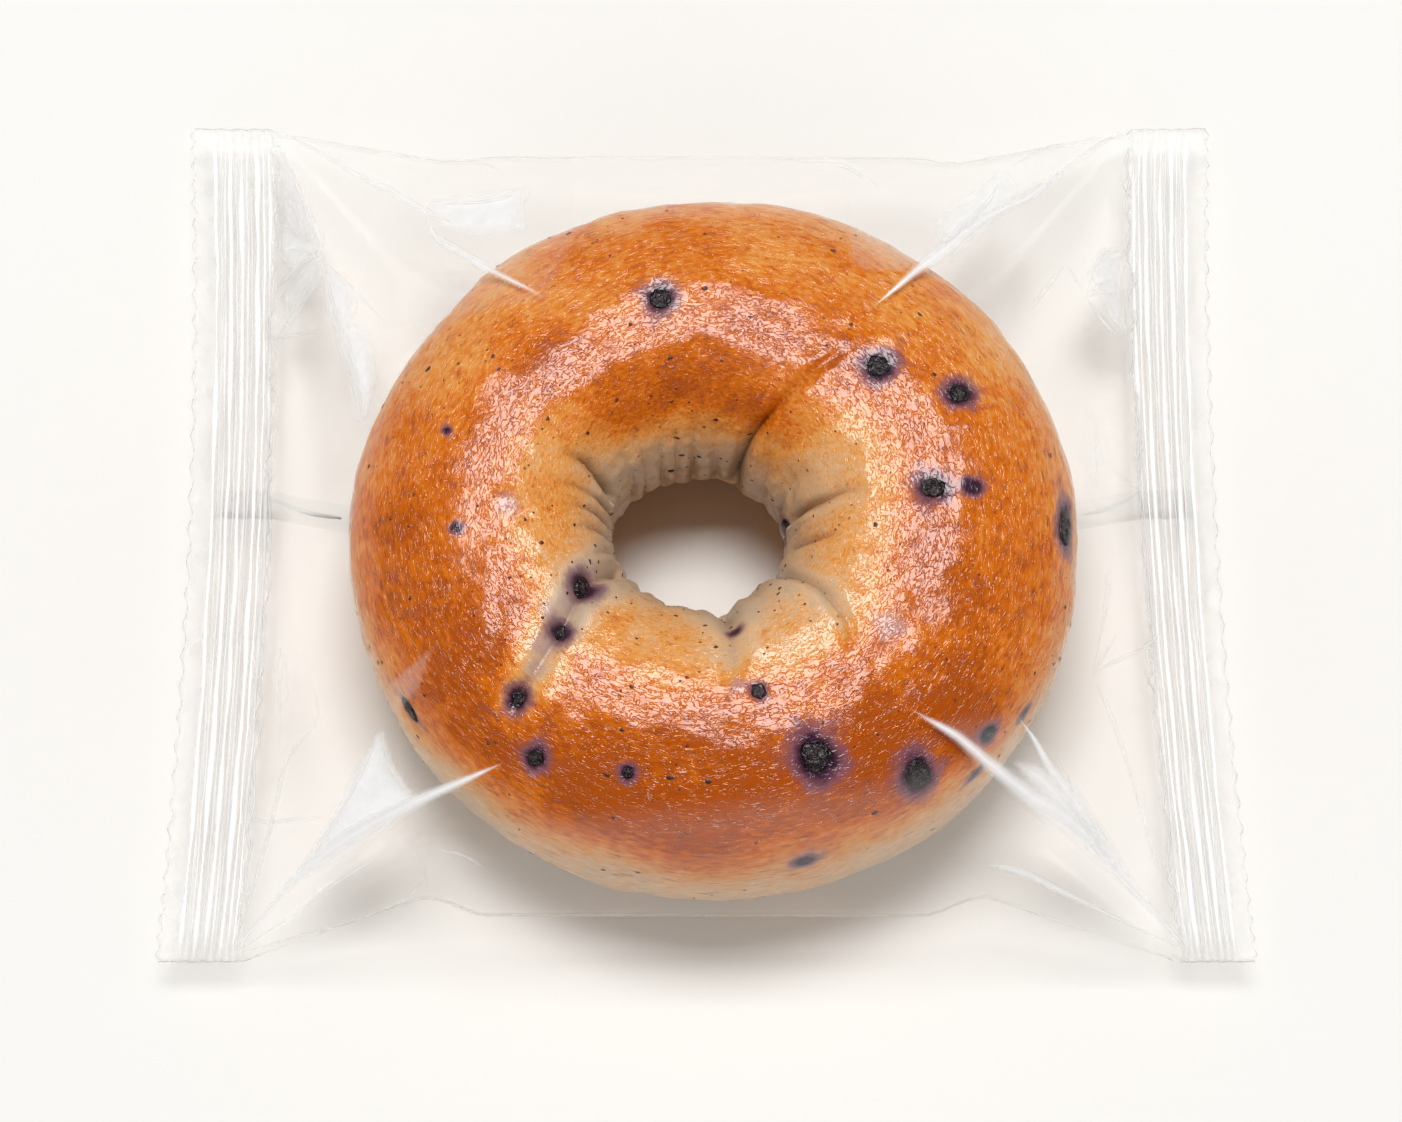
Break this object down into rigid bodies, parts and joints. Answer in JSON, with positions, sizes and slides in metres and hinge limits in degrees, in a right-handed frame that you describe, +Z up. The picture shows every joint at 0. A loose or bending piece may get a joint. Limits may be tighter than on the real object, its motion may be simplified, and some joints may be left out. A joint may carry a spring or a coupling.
{
  "type": "bagel in a clear bag",
  "caption": "Round blueberry bagel sealed in a clear film bag, crimped at both ends, lying flat with the film drawn tight over the ring.",
  "frame": {"origin": "on the table under the middle of the bag", "axes": "+X towards one crimped end seal, +Y towards one long side, +Z up"},
  "size_m": [0.1562, 0.131, 0.037],
  "materials": {
    "film": "clear thin glossy film",
    "crust": "glazed golden brown bread crust, paler at the hole and the sides",
    "blueberry": "baked dark blue berry skin",
    "speck": "dark bits of berry skin in the crust"
  },
  "bodies": {
    "root": {"bag": "film", "bagel": "crust"}
  },
  "joints": []
}
